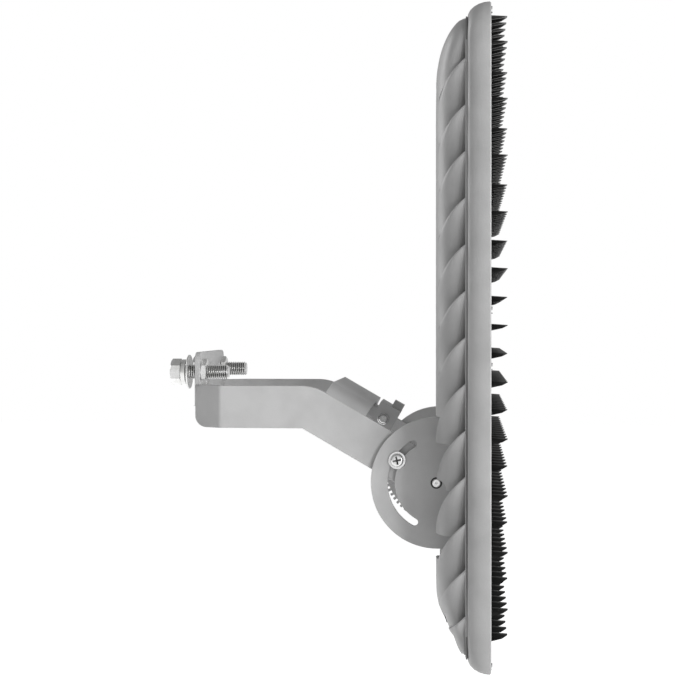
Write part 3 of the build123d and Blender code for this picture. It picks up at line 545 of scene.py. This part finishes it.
def scale_spans(index):
    """The heights between which a scale shows. The bay for the ears takes a bite out of some of them."""
    top, own = min(scale_start(index), head_top - edge_round), scale_start(index) - scale_drop
    end = max(scale_start(index + 1) - scale_drop, head_z - foot_half)
    bay_top, bay_foot = pivot_z + bay_half, pivot_z - bay_half
    if end > bay_top or own < bay_foot:
        return [(top, end)]
    return [(top, bay_top if own > bay_top else own)] + ([(bay_foot, end)] if end < bay_foot else [])


print("scales start at mm", [round(scale_start(index) / mm) for index in range(0, scale_count, 4)])

# %% [markdown]
# A scale's grid is laid flat by `create_grid`, then every vertex is moved to its place: its row gives the
# height, and its column runs from the leading arc to the next scale's arc or to the band. It sinks with the
# distance behind the arc. Extruding the whole sheet inwards afterwards makes it a closed, solid tile.

# %% Model the scales
scale_rows, scale_columns, scale_under = 40, 12, 17 * mm
crown_curve = 2 * scale_curve


def scale_tile(bm, index, side, top, lowest):
    """One stretch of a scale: a sheet bent onto the shoulder, then made solid. Scale -1 is the crown."""
    sheet = bmesh.ops.create_grid(bm, x_segments=scale_columns, y_segments=scale_rows, size=1)["verts"]
    for corner in sheet:
        row, column = (corner.co.y + 1) / 2, (corner.co.x + 1) / 2
        z = top + (lowest - top) * row
        near = edge_turn(index, z)
        far = edge_turn(index + 1, z) if z < scale_start(index + 1) else 0
        turn = near + (min(far, near) - near) * column
        x = seat_x - (seat_x - crest_x) * math.sin(turn)
        behind = max(behind_edge(index, x, z), 0)
        curve = scale_curve if index >= 0 else crown_curve
        sunk = scale_depth * (behind / scale_reach) ** curve + edge_round * math.exp(-behind / edge_round)
        # The valley number is how far a corner has sunk; the coats paint shade by it.
        corner[turn_of], corner[valley] = turn, min(sunk / scale_depth, 1)
        corner.co = shoulder_point(turn, min(sunk, scale_under - edge_round), z, side)
    faces = list({face for corner in sheet for face in corner.link_faces})
    raised = bmesh.ops.extrude_face_region(bm, geom=faces)["geom"]
    for item in raised:
        if isinstance(item, bmesh.types.BMVert):
            item.co = shoulder_point(item[turn_of], scale_under, item.co.z, side)


scales = bmesh.new()
turn_of = scales.verts.layers.float.new("turn")
valley = scales.verts.layers.float.new("valley")
for side in (-1, 1):
    for index in range(-1, scale_count):
        for top, lowest in scale_spans(index):
            scale_tile(scales, index, side, top, lowest)
set_normals(scales, smooth_below=50)
piece("side_scales", scales, "head", "housing_paint", ["rear_housing"])

# %% [markdown]
# Under the scales lies the tray itself, with a thin flange against the frame. Its outline is a rounded
# rectangle that shrinks as it goes back, so it is a stack of rounded rings, each extruded from the last. The
# bay for the ears is cut by planes: the stack is made three times, and each time only the part above, below
# or beside the bay is kept and closed again.

# %% Model the tray
tray_sunk, tray_bands, corner_steps, seat_t, tray_under = 15 * mm, 24, 10, 1.8 * mm, 0.2 * mm
pocket_y, pocket_z, pocket_r, floor_t = 112.5 * mm, 229 * mm, 20 * mm, 3.6 * mm
bay_depth, cut_gap = 15 * mm, 0.3 * mm


def ring_place(number, x, half_y, half_z, radius, middle_z):
    """Where one corner of a rounded rectangle that faces along X lies."""
    quarter, step = divmod(number, corner_steps)
    angle = math.radians(90) * (quarter + step / (corner_steps - 1))
    sign_y, sign_z = (1, -1, -1, 1)[quarter], (1, 1, -1, -1)[quarter]
    y = sign_y * (half_y - radius) + radius * math.cos(angle)
    return Vector((x, y, middle_z + sign_z * (half_z - radius) + radius * math.sin(angle)))


def loop_edges(loop):
    corners = set(loop)
    around = [(edge, corner) for corner in loop for edge in corner.link_edges]
    return list({edge for edge, corner in around if edge.other_vert(corner) in corners})


def stacked(bm, rings):
    """A closed body through rounded rectangles, each extruded from the one before and then set in place."""
    loop = bmesh.ops.create_circle(bm, cap_ends=False, radius=1, segments=4 * corner_steps)["verts"]
    for number, corner in enumerate(loop):
        corner.co = ring_place(number, *rings[0])
    first_rim = loop_edges(loop)
    for ring in rings[1:]:
        number_at = {tuple(corner.co): number for number, corner in enumerate(loop)}
        grown = bmesh.ops.extrude_edge_only(bm, edges=loop_edges(loop))["geom"]
        fresh = [item for item in grown if isinstance(item, bmesh.types.BMVert)]
        loop = sorted(fresh, key=lambda corner: number_at[tuple(corner.co)])
        for number, corner in enumerate(loop):
            corner.co = ring_place(number, *ring)
    for rim in (first_rim, loop_edges(loop)):
        bmesh.ops.contextual_create(bm, geom=rim)


def keep_side(bm, place, away):
    """Cuts with a plane, drops what lies on the side that away points to, and closes the cut."""
    every = bm.verts[:] + bm.edges[:] + bm.faces[:]
    cut = bmesh.ops.bisect_plane(bm, geom=every, plane_co=place, plane_no=away, clear_outer=True)["geom_cut"]
    rims = [item for item in cut if isinstance(item, bmesh.types.BMEdge)]
    bmesh.ops.holes_fill(bm, edges=rims, sides=0)


def tray_rings():
    seat = (flank_y - tray_under, foot_half - tray_under, corner_r, head_z)
    rings = [(seat_x, *seat), (seat_x - seat_t, *seat)]
    for band in range(tray_bands + 1):
        turn = math.radians(90) * band / tray_bands
        drawn = 1 - math.cos(turn)
        top_half, low_half = end_half(turn, head_top), end_half(turn, foot_z) - tray_under
        rings.append((
            seat_x - seat_t - (seat_x - seat_t - tray_x) * math.sin(turn),
            flank_y - tray_sunk - (shoulder_in - tray_sunk) * drawn, (top_half + low_half) / 2,
            corner_r + (crest_corner_r - corner_r) * drawn, head_z + (top_half - low_half) / 2))
    pocket = (pocket_y, pocket_z, pocket_r, head_z)
    return rings + [(tray_x, *pocket), (seat_x - seat_t - floor_t, *pocket)]


def tray_part(target, cuts):
    bm = bmesh.new()
    stacked(bm, tray_rings())
    for place, away in cuts:
        keep_side(bm, place, away)
    add_to(target, bm)


cut_half = bay_half + cut_gap
cut_top, cut_foot = (0, 0, pivot_z + cut_half), (0, 0, pivot_z - cut_half)
tray = bmesh.new()
tray_part(tray, [(cut_top, (0, 0, -1))])
tray_part(tray, [(cut_foot, (0, 0, 1))])
tray_part(tray, [(cut_top, (0, 0, 1)), (cut_foot, (0, 0, -1)), ((tray_x + bay_depth, 0, 0), (-1, 0, 0))])
set_normals(tray)
piece("tray", tray, "head", "housing_paint", ["rear_housing"])

# %% [markdown]
# ## Break the edges of the plates and castings
#
# Nothing that is bent, cast or coated has a knife edge. The pack's plates keep their form here, but each is
# copied, its corners are merged and its flat faces joined, and every sharp edge gets a small round. The
# small rounds catch the light as thin bright lines.

# %% Round the edges of kept plates
sheet_round, small_round = 0.6 * mm, 0.3 * mm
flat_within, sharp_above = math.radians(1), math.radians(40)


def dressed(node, width):
    bm = bmesh.new()
    bm.from_mesh(nodes[node].data)
    bmesh.ops.remove_doubles(bm, verts=bm.verts, dist=merge_dist)
    bmesh.ops.dissolve_limit(bm, angle_limit=flat_within, verts=bm.verts, edges=bm.edges)
    sharp = [edge for edge in bm.edges if edge.is_manifold and edge.calc_face_angle() > sharp_above]
    bmesh.ops.bevel(
        bm, geom=sharp, offset=width, offset_type="OFFSET", segments=2, profile=0.5, affect="EDGES",
        material=-1, clamp_overlap=False)
    set_normals(bm, smooth_below=34)
    made = piece(node + "_dressed", bm, nodes[node]["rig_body"], slot_of[node], [node])
    evened = made.modifiers.new("even_shading", "WEIGHTED_NORMAL")
    evened.keep_sharp = True


for node in ("stirrup_bracket", "bridge_plate"):
    dressed(node, sheet_round)
for node in ("left_ear", "right_ear", "tilt_stop_block", "tilt_stop_lock_screw", "front_frame"):
    dressed(node, small_round)

# %% [markdown]
# ## Threads, nuts and washers
#
# A thread is one tooth turned about its axis while it climbs by its pitch. A hexagon head is a six-sided bar
# whose corners were turned off at thirty degrees, which leaves the arcs on its flats, so here a ring of
# planes cuts them off. The spring washer is a square bar wound almost once round, with a gap and a climb.

# %% Turn, thread and cut
turn_steps, fine_steps, tooth_steps, spare_laps, arc_cuts = 36, 40, 20, 2, 24
tooth_rise, tooth_fall = 0.44, 0.56
hex_half, chamfer, chamfer_share = math.radians(30), math.radians(30), 0.97
thin = 0.02 * mm
along_x = Matrix.Rotation(math.radians(90), 4, "Y")
flip = Matrix.Rotation(math.pi, 4, "X")


def wire(bm, profile):
    """The corners and edges of a profile of (height, radius) pairs, ready to be turned about Z."""
    corners = [bm.verts.new((radius, 0, height)) for height, radius in profile]
    return corners + [bm.edges.new(pair) for pair in zip(corners, corners[1:])]


def turned_body(profile, steps=turn_steps):
    """A bmesh of its own with a profile turned about Z."""
    bm = bmesh.new()
    bmesh.ops.spin(
        bm, geom=wire(bm, profile), cent=(0, 0, 0), axis=(0, 0, 1), angle=math.radians(360), steps=steps,
        use_merge=True)
    bmesh.ops.remove_doubles(bm, verts=bm.verts, dist=merge_dist)
    return bm


def turned(target, profile, place):
    """A profile turned about the local Z of a place."""
    add_to(target, turned_body(profile), place)


def threaded(target, radius, pitch, depth, low, high, place):
    """A screw thread between two heights, with a short cone at its far end."""
    bm = bmesh.new()
    laps = math.ceil((high - low) / pitch) + spare_laps
    root = radius - depth
    tooth = ((0, root), (pitch * tooth_rise, radius), (pitch * tooth_fall, radius), (pitch, root))
    geom = wire(bm, [(low - pitch + height, r) for height, r in tooth])
    bmesh.ops.spin(
        bm, geom=geom, cent=(0, 0, 0), axis=(0, 0, 1), dvec=(0, 0, pitch / tooth_steps),
        angle=math.radians(360) * laps, steps=tooth_steps * laps)
    bmesh.ops.remove_doubles(bm, verts=bm.verts, dist=merge_dist)
    keep_side(bm, (0, 0, low), (0, 0, -1))
    keep_side(bm, (0, 0, high), (0, 0, 1))
    for corner in bm.verts:
        reach = math.hypot(corner.co.x, corner.co.y)
        most = radius - max(corner.co.z - (high - depth), 0)
        if reach > most:
            corner.co.x, corner.co.y = corner.co.x * most / reach, corner.co.y * most / reach
    add_to(target, bm, place)


def hexagon(target, flats, height, place, both=True):
    """A hexagon head or nut on the local XY plane, whose corners are turned off at its ends."""
    bm = bmesh.new()
    corner_reach = flats / 2 / math.cos(hex_half)
    bmesh.ops.create_cone(
        bm, cap_ends=True, segments=6, radius1=corner_reach, radius2=corner_reach, depth=height,
        matrix=Matrix.Translation((0, 0, height / 2)))
    ends = ((0, -1), (height, 1)) if both else ((height, 1),)
    for end, way in ends:
        for number in range(arc_cuts):
            angle = math.radians(360) * (number + 0.5) / arc_cuts
            out = Vector((math.cos(angle), math.sin(angle), 0))
            edge = out * (flats / 2 * chamfer_share) + Vector((0, 0, end))
            keep_side(bm, edge, out * math.sin(chamfer) + Vector((0, 0, way * math.cos(chamfer))))
    add_to(target, bm, place)


def at(x, y, z, turn=along_x):
    return Matrix.Translation((x, y, z)) @ turn


def store_shade_depth(bm, depth_at):
    """Stores how deep each corner lies in a root or a recess, from 0 to 1, for the painted shade there."""
    layer = bm.verts.layers.float.new("valley")
    for corner in bm.verts:
        corner[layer] = min(max(depth_at(corner.co), 0), 1)


print("ready to turn and cut")

# %% Make the mounting bolts
head_low, head_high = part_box("mount_bolts")
spring_low, spring_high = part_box("mount_spring_washers")
plate_low, plate_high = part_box("mount_flat_washers")
nut_low, nut_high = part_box("mount_nuts")
bolt_r, bolt_flats, bolt_pitch, bolt_tooth = 7 * mm, 22 * mm, 2 * mm, 1.2 * mm
bolt_z = (head_low.z + head_high.z) / 2
bolt_y = head_high.y - bolt_flats / 2
head_h, bolt_length, nut_t = spring_low.x - head_low.x, head_high.x - head_low.x, nut_high.x - nut_low.x
plate_r, plate_t = (plate_high.z - plate_low.z) / 2, plate_high.x - plate_low.x
spring_r, spring_t = (spring_high.z - spring_low.z) / 2, spring_high.x - spring_low.x
spring_gap, spring_steps, spring_bar, spring_round = math.radians(24), 30, 4.4 * mm, 0.5 * mm
flat_up = along_x @ Matrix.Rotation(hex_half, 4, "Z")
gap_turn = along_x @ Matrix.Rotation(math.radians(60), 4, "Z")

bolts, springs, plates, nuts = (bmesh.new() for _ in range(4))
for side in (-1, 1):
    y = side * bolt_y
    under_head = at(head_low.x, y, bolt_z, flat_up) @ Matrix.Translation((0, 0, head_h)) @ flip
    shank = at(head_low.x, y, bolt_z)
    hexagon(bolts, bolt_flats, head_h, under_head, both=False)
    threaded(bolts, bolt_r, bolt_pitch, bolt_tooth, head_h - thin, bolt_length, shank)
    hexagon(nuts, bolt_flats, nut_t, at(nut_low.x, y, bolt_z, flat_up))
    turned(plates, [
        (0, bolt_r + thin), (0, plate_r * 0.72), (plate_t * 0.30, plate_r * 0.93), (plate_t * 0.55, plate_r),
        (plate_t * 0.85, plate_r), (plate_t, plate_r * 0.975), (plate_t, bolt_r + thin), (0, bolt_r + thin)],
        at(plate_low.x, y, bolt_z))

    spring = bmesh.new()
    bmesh.ops.create_circle(spring, cap_ends=True, radius=spring_bar / 2 * math.sqrt(2), segments=4, matrix=(
        Matrix.Translation((spring_r - spring_bar / 2, 0, spring_t - spring_bar / 2)) @
        Matrix.Rotation(math.radians(90), 4, "X") @ Matrix.Rotation(math.radians(45), 4, "Z")))
    bmesh.ops.bevel(
        spring, geom=spring.verts[:], offset=spring_round, offset_type="OFFSET", segments=2, profile=0.5,
        affect="VERTICES", material=-1)
    bmesh.ops.spin(
        spring, geom=spring.faces[:], cent=(0, 0, 0), axis=(0, 0, 1), steps=spring_steps,
        dvec=(0, 0, -(spring_t - spring_bar) / spring_steps), angle=math.radians(360) - spring_gap)
    add_to(springs, spring, at(spring_low.x, y, bolt_z, gap_turn))


def bolt_root(place):
    reach = math.hypot(abs(place.y) - bolt_y, place.z - bolt_z)
    return (bolt_r - reach) / bolt_tooth if spring_low.x < place.x < head_high.x - bolt_tooth else 0


for name, bm, node in (
        ("hex_bolts", bolts, "mount_bolts"), ("hex_nuts", nuts, "mount_nuts"),
        ("domed_washers", plates, "mount_flat_washers"),
        ("split_washers", springs, "mount_spring_washers")):
    set_normals(bm, smooth_below=30)
    if bm is bolts:
        # Painted shade in the roots of the thread.
        store_shade_depth(bm, bolt_root)
    piece(name, bm, "bracket", "zinc_plate", [node])

# %% [markdown]
# ## The screws in the arc slots, and the pivots
#
# The clamping screw in each slot is a pan head with a cross recess, on a flat washer. The recess is two
# tapered troughs pressed in at right angles. The pivot bolt comes out through the ear and shows as a bright
# turned end in a black ring, a seal that also stands in as painted shade for the countersink.

# %% Cut a cross recess
cross_wide, cross_deep, cross_reach = 1.7 * mm, 2.6 * mm, 3.9 * mm
cross_taper, cross_slope, level_share = 0.8, 0.5, 0.99
dome_flat, dome_foot, dome_side, dome_low, dome_steps = 0.68, 0.97, 0.12, 0.38, 6


def on_top(face, top):
    return face.calc_center_median().z > top - thin and face.normal.z > level_share


def cross_recess(bm, reach, width, depth, top):
    """Presses a cross into the flat top of a turned head: cuts its outline and pushes the cross down."""
    for out in (Vector((0, 1, 0)), Vector((1, 0, 0))):
        for offset in (-width / 2, width / 2, -reach, reach):
            bm.normal_update()
            flat = [face for face in bm.faces if on_top(face, top)]
            parts = {part for face in flat for part in (face, *face.edges, *face.verts)}
            every = bm.verts[:] + bm.edges[:] + bm.faces[:]
            geom = [part for part in every if part in parts]
            bmesh.ops.bisect_plane(bm, geom=geom, plane_co=out * offset, plane_no=out)
    bm.normal_update()
    inside = []
    for face in bm.faces:
        middle_of = face.calc_center_median()
        near, far = sorted((abs(middle_of.x), abs(middle_of.y)))
        if near < width / 2 and far < reach and on_top(face, top):
            inside.append(face)
    print("faces in the cross:", len(inside))
    pushed = bmesh.ops.extrude_face_region(bm, geom=inside)["geom"]
    bmesh.ops.delete(bm, geom=[face for face in inside if face.is_valid], context="FACES_ONLY")
    for corner in [item for item in pushed if isinstance(item, bmesh.types.BMVert)]:
        share = math.hypot(corner.co.x, corner.co.y) / reach
        corner.co.z -= depth * (1 - cross_slope * min(share, 1))
        corner.co.x, corner.co.y = corner.co.x * cross_taper, corner.co.y * cross_taper


def pan_head(target, radius, height, place):
    """A rounded head with a cross recess, on the local XY plane. The dome's numbers are shares of it."""
    flat_r = radius * dome_flat
    profile = [(0, 0), (0, radius * dome_foot), (height * dome_side, radius), (height * dome_low, radius)]
    for number in range(1, dome_steps + 1):
        turn = math.radians(90) * number / dome_steps
        rise = dome_low + (1 - dome_low) * math.sin(turn)
        profile.append((height * rise, flat_r + (radius - flat_r) * math.cos(turn)))
    head = turned_body(profile, fine_steps)
    open_rim = [edge for edge in head.edges if edge.is_boundary]
    bmesh.ops.contextual_create(head, geom=open_rim)
    bmesh.ops.recalc_face_normals(head, faces=head.faces)
    cross_recess(head, cross_reach, cross_wide, cross_deep, height)
    add_to(target, head, place)


print("ready to press a cross", round(cross_reach / mm, 1), "mm out from the middle")

# %% Fit the clamping screws
outward = {side: Matrix.Rotation(math.radians(-90 * side), 4, "X") for side in (-1, 1)}
screw_low, screw_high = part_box("slot_screws")
disc_low, disc_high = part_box("slot_washers")
_, clip_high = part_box("slot_nuts")
slot_x, slot_z = (screw_low.x + screw_high.x) / 2, (screw_low.z + screw_high.z) / 2
clamp_r, clamp_pitch, clamp_tooth = 3 * mm, 1 * mm, 0.5 * mm
pan_r, pan_h = (screw_high.x - screw_low.x) / 2, screw_high.y - disc_high.y
disc_r, disc_t = (disc_high.x - disc_low.x) / 2, 1.4 * mm
clip_flats, clip_t = 10 * mm, 5 * mm
shank_start, shank_skip = 79.5 * mm, 0.1 * mm
cross_turn = Matrix.Rotation(math.radians(12), 4, "Z")
screws, discs, clips = (bmesh.new() for _ in range(3))
for side in (-1, 1):
    out = outward[side]
    pan_head(screws, pan_r, pan_h, at(slot_x, side * disc_high.y, slot_z, out @ cross_turn))
    shank = at(slot_x, side * shank_start, slot_z, out)
    threaded(screws, clamp_r, clamp_pitch, clamp_tooth, shank_skip, disc_high.y - shank_start, shank)
    turned(discs, [
        (0, clamp_r), (0, disc_r - 0.2 * mm), (0.2 * mm, disc_r), (disc_t - 0.3 * mm, disc_r),
        (disc_t, disc_r - 0.4 * mm), (disc_t, clamp_r), (0, clamp_r)],
        at(slot_x, side * (disc_high.y - disc_t), slot_z, out))
    hexagon(clips, clip_flats, clip_t, at(slot_x, side * (clip_high.y - clip_t), slot_z, out))


def cross_depth(place):
    reach = math.hypot(place.x - slot_x, place.z - slot_z)
    return (screw_high.y - abs(place.y)) / mm if reach < cross_reach and abs(place.y) > disc_high.y else 0


for name, bm, node in (
        ("slot_pan_screws", screws, "slot_screws"), ("slot_discs", discs, "slot_washers"),
        ("slot_hex_nuts", clips, "slot_nuts")):
    set_normals(bm, smooth_below=32)
    if bm is screws:
        # Painted shade in the cross recess.
        store_shade_depth(bm, cross_depth)
    piece(name, bm, "bracket", "screw_steel", [node])

# %% Turn the pivot bolts
_, pin_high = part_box("pivot_bolts")
pin_r, pin_flats, pin_head_h, head_face = 4 * mm, 13 * mm, 5.3 * mm, 78.4 * mm
length = pin_high.y - head_face - pin_head_h
pins = bmesh.new()
for side in (-1, 1):
    out, pin_y = outward[side], side * (head_face + pin_head_h)
    hexagon(pins, pin_flats, pin_head_h, at(pivot_x, pin_y, pivot_z, out @ flip), both=False)
    turned(pins, [
        (-thin, 0), (-thin, pin_r), (length - 0.9 * mm, pin_r), (length - 0.5 * mm, pin_r - 0.15 * mm),
        (length, pin_r - 0.8 * mm), (length, 1.1 * mm), (length - 0.7 * mm, 0.4 * mm),
        (length - 0.7 * mm, 0)], at(pivot_x, pin_y, pivot_z, out))
set_normals(pins, smooth_below=32)
piece("pivot_pins", pins, "head", "screw_steel", ["pivot_bolts"])

# Black rings at the pivots: seals, and painted shade for the countersink round each bolt end.
shade_seal_out, shade_seal_in, shade_seal_t, shade_seal_sunk, foot_reach = 5.5 * mm, 4.03 * mm, 1.1 * mm, 0.85 * mm, 17 * mm
ear_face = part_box("left_ear")[1].y - foot_reach
lip = [
    (0, shade_seal_in), (0, 4.8 * mm), (0.8 * mm, shade_seal_out - 0.1 * mm), (shade_seal_t, shade_seal_out - 0.4 * mm),
    (shade_seal_t, shade_seal_in), (0, shade_seal_in)]
shade_seal_rings = bmesh.new()
for side in (-1, 1):
    turned(shade_seal_rings, lip, at(pivot_x, side * (ear_face - shade_seal_sunk), pivot_z, outward[side]))
set_normals(shade_seal_rings)
piece("pivot_seals", shade_seal_rings, "head", "black_plastic")

# %% [markdown]
# ## The stop's round ends, and the pillars behind the lenses
#
# The stop's cross bolt ends in a round lock ring with a dished face, and its small set screw has a socket.
# Six-sided pillars hold the lens panels off the housing floor; only their ends can be glimpsed.

# %% Turn the stop's fittings and the pillars
ring_low, ring_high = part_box("tilt_stop_nut")
stud_low, stud_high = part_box("tilt_stop_bolt")
ring_x, ring_z = (ring_low.x + ring_high.x) / 2, (ring_low.z + ring_high.z) / 2
ring_r, ring_t, stud_r = (ring_high.x - ring_low.x) / 2, ring_high.y - ring_low.y, 4 * mm
to_camera = outward[-1]
ring, stud = bmesh.new(), bmesh.new()
turned(ring, [
    (0, stud_r + thin), (0, ring_r), (ring_t * 0.55, ring_r), (ring_t * 0.85, ring_r - 0.35 * mm),
    (ring_t, ring_r - 0.9 * mm), (ring_t * 0.80, stud_r + 0.5 * mm), (ring_t * 0.55, stud_r + thin),
    (0, stud_r + thin)], at(ring_x, ring_high.y, ring_z, to_camera))
stud_reach, cap_r, cap_t = stud_high.y - stud_low.y, (stud_high.x - stud_low.x) / 2, 1.2 * mm
turned(stud, [
    (0, 0), (0, cap_r - 0.4 * mm), (0.4 * mm, cap_r), (cap_t, cap_r), (cap_t, stud_r),
    (stud_reach - 0.8 * mm, stud_r), (stud_reach, stud_r - 0.8 * mm), (stud_reach, 1.6 * mm),
    (stud_reach - 0.5 * mm, 1.1 * mm), (stud_reach - 0.5 * mm, 0)],
    at(ring_x, stud_high.y, ring_z, to_camera))
for name, bm, node in (("stop_ring", ring, "tilt_stop_nut"), ("stop_stud", stud, "tilt_stop_bolt")):
    set_normals(bm, smooth_below=32)
    piece(name, bm, "bracket", "screw_steel", [node])

pillar_flats, pillar_y, row_pitch = 5.2 * mm, 158.8 * mm, 25 * mm
pillar_rows, middle_row = (0, 6, 8, 14, 16, 22), 11
pillar_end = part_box("panel_spacers")[1].x
pillars = bmesh.new()
for row in pillar_rows:
    for side in (-1, 1):
        pillar_z = head_z + (middle_row - row) * row_pitch
        hexagon(pillars, pillar_flats, pillar_end - seat_x, at(seat_x, side * pillar_y, pillar_z))
set_normals(pillars)
piece("panel_pillars", pillars, "head", "brass", ["panel_spacers"])
